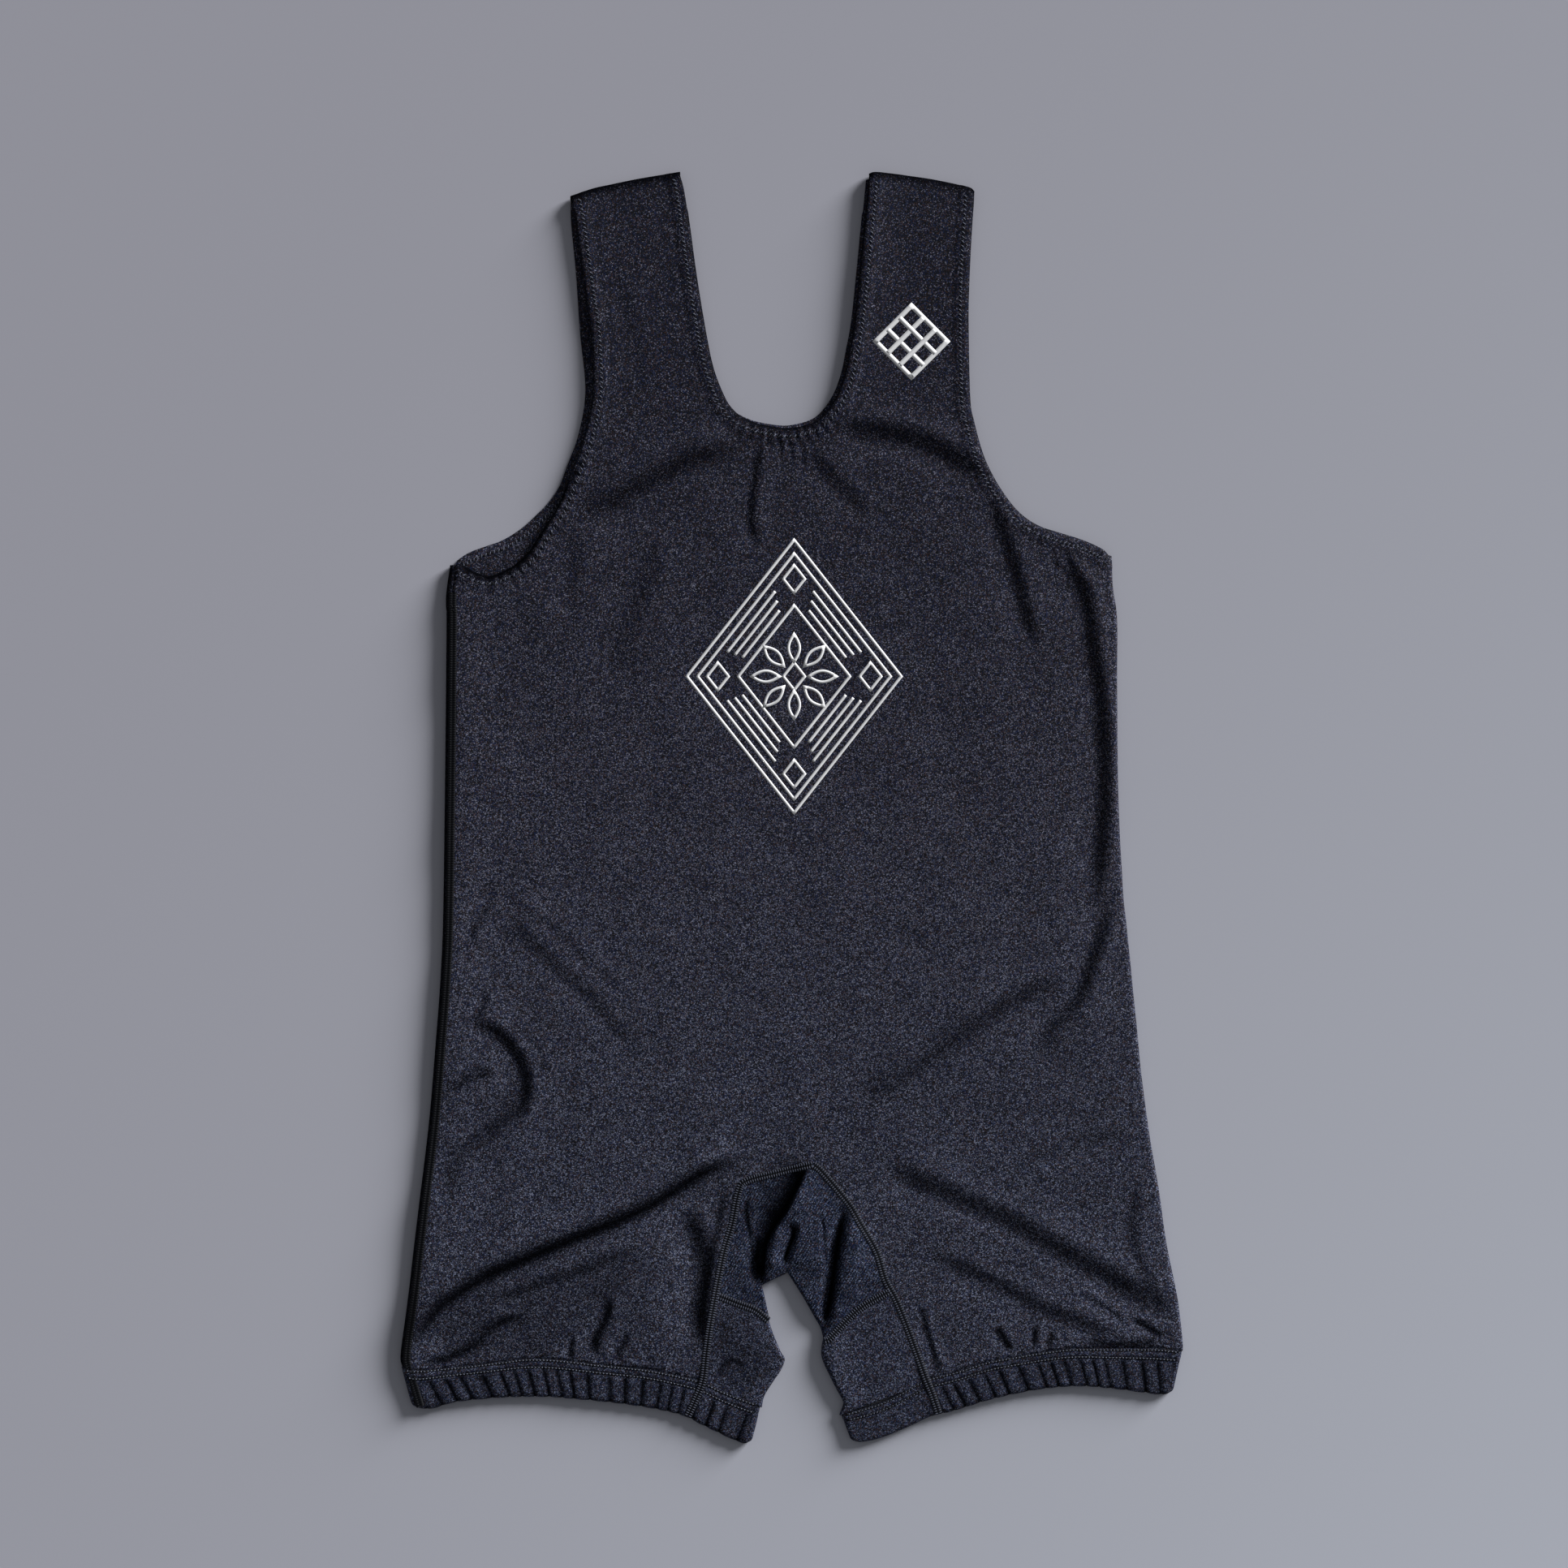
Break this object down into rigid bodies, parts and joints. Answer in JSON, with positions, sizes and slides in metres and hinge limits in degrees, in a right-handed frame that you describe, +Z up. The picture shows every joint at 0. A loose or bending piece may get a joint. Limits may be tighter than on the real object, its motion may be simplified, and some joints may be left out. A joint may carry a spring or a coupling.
{
  "type": "powerlifting singlet",
  "caption": "Sleeveless one-piece stretch-knit singlet with wide shoulder straps, deep neck, crotch gusset and gathered elastic leg hems, laid flat on its back.",
  "frame": {"origin": "middle of the flat garment's outline, on the surface that it lies on", "axes": "+Y towards the shoulder straps, +X to the right as seen from above, +Z up out of the surface, the way the front faces"},
  "size_m": [0.4815, 0.7823, 0.0081],
  "materials": {
    "body_knit": "matt navy-black stretch knit with a slight sheen",
    "gusset_knit": "the same knit cut on the cross, so its fine ribs run slantwise",
    "hem_knit": "the same knit doubled over an elastic and gathered",
    "thread": "dark polyester sewing thread",
    "white_print": "thin matt white transfer print"
  },
  "bodies": {
    "root": {"front_panel": "body_knit", "back_panel": "body_knit", "crotch_gusset": "gusset_knit", "inner_leg_left": "gusset_knit", "inner_leg_right": "gusset_knit", "leg_hem_left": "hem_knit", "leg_hem_right": "hem_knit"}
  },
  "joints": []
}
